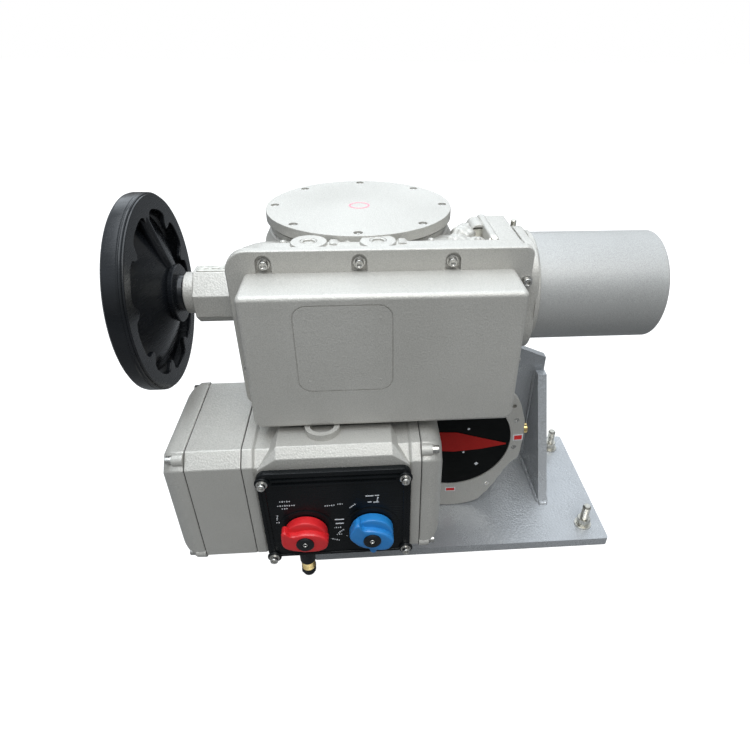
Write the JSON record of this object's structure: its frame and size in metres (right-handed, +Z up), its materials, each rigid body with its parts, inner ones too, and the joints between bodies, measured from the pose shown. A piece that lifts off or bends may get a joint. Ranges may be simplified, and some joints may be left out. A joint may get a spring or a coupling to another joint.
{
  "type": "motorized valve actuator",
  "caption": "Electric multi-turn valve actuator on a part-turn worm gearbox and foot bracket, with handwheel, side motor, pointer dial, rear lever and a control unit with two selector knobs.",
  "frame": {"origin": "centre of the base plate's flat underside", "axes": "+X along the motor and handwheel axis towards the motor, +Y to the back where the lever is, +Z up"},
  "size_m": [0.6158, 0.386, 0.5065],
  "materials": {
    "grey_casting": "silver-grey hammered paint on aluminium castings",
    "bracket_paint": "light grey gloss paint on steel plate",
    "zinc_steel": "zinc plated",
    "bare_steel": "machined",
    "bronze": "machined bronze",
    "brass": "turned brass",
    "black_gloss": "glossy black",
    "seal_rubber": "matte rubber",
    "red_plastic": "satin red",
    "blue_plastic": "satin blue",
    "pointer_red": "matte red",
    "winding": "varnished windings",
    "board": "green circuit board",
    "grey_plastic": "moulded"
  },
  "bodies": {
    "frame": {"anchor_bolt_1": "zinc_steel", "anchor_bolt_2": "zinc_steel", "anchor_bolt_3": "zinc_steel", "anchor_bolt_4": "zinc_steel", "back_plate": "bracket_paint", "base_plate": "bracket_paint", "bearing_neck": "grey_casting", "blanking_plug_left": "grey_casting", "blanking_plug_right": "grey_casting", "conduit_neck": "grey_casting", "control_panel": "black_gloss", "dial_ring_cover": "grey_casting", "drive_adapter": "grey_casting", "drive_bearing": "bare_steel", "ecu_body": "grey_casting", "ecu_bracket": "grey_casting", "ecu_end_section": "grey_casting", "ecu_left_cover": "grey_casting", "ecu_right_cover": "grey_casting", "gearbox_bearing_lower": "bare_steel", "gearbox_bearing_upper": "bare_steel", "gearbox_end_cap": "grey_casting", "gearbox_housing": "grey_casting", "gland_body": "brass", "gland_cap": "black_gloss", "logic_board": "board", "main_housing": "grey_casting", "motor_flange": "grey_casting", "motor_stator": "winding", "motor_tube": "grey_casting", "neck_bearing": "bare_steel", "neck_collar": "grey_casting", "output_bush": "bronze", "panel_gasket": "seal_rubber", "rib_left": "bracket_paint", "rib_right": "bracket_paint", "shaft_bearing": "bare_steel", "stop_plug": "brass", "terminal_block": "grey_plastic", "terminal_cover": "grey_casting", "terminal_gasket": "seal_rubber", "top_cover": "grey_casting", "top_cover_gasket": "seal_rubber"},
    "output": {"sector_wheel": "bronze", "output_shaft": "bare_steel", "pointer_disc": "black_gloss", "pointer_arrow": "pointer_red", "lever_arm": "bracket_paint", "lever_retainer": "bare_steel"},
    "drive": {"gearbox_worm": "bare_steel", "drive_sleeve": "bare_steel", "drive_worm_wheel": "bronze"},
    "shaft": {"handwheel": "black_gloss", "worm_shaft": "bare_steel", "handwheel_nut": "bare_steel", "motor_rotor": "bare_steel"},
    "red_selector": {"red_knob": "red_plastic", "red_knob_shaft": "bare_steel"},
    "blue_selector": {"blue_knob": "blue_plastic", "blue_knob_shaft": "bare_steel"}
  },
  "joints": [
    {"name": "handwheel_turn", "type": "hinge", "parent": "frame", "child": "shaft", "pos_m": [-0.38, -0.0325, 0.392], "axis": [1, 0, 0], "range_deg": [-2000, 34000]},
    {"name": "drive_turn", "type": "hinge", "parent": "frame", "child": "drive", "pos_m": [-0.1385, 0.046, 0.392], "axis": [0, 0, 1], "range_deg": [-3400, 200]},
    {"name": "output_turn", "type": "hinge", "parent": "frame", "child": "output", "pos_m": [-0.0105, 0, 0.1455], "axis": [0, 1, 0], "range_deg": [-5, 85]},
    {"name": "red_knob_turn", "type": "hinge", "parent": "frame", "child": "red_selector", "pos_m": [-0.2122, -0.2, 0.162], "axis": [0, 1, 0], "range_deg": [-60, 60]},
    {"name": "blue_knob_turn", "type": "hinge", "parent": "frame", "child": "blue_selector", "pos_m": [-0.1353, -0.2, 0.162], "axis": [0, 1, 0], "range_deg": [-45, 45], "stiffness_Nm_per_rad": 0.1}
  ],
  "couplings": [
    {"joint": "drive_turn", "follows": "handwheel_turn", "ratio": -0.1},
    {"joint": "output_turn", "follows": "handwheel_turn", "ratio": 0.0025}
  ]
}
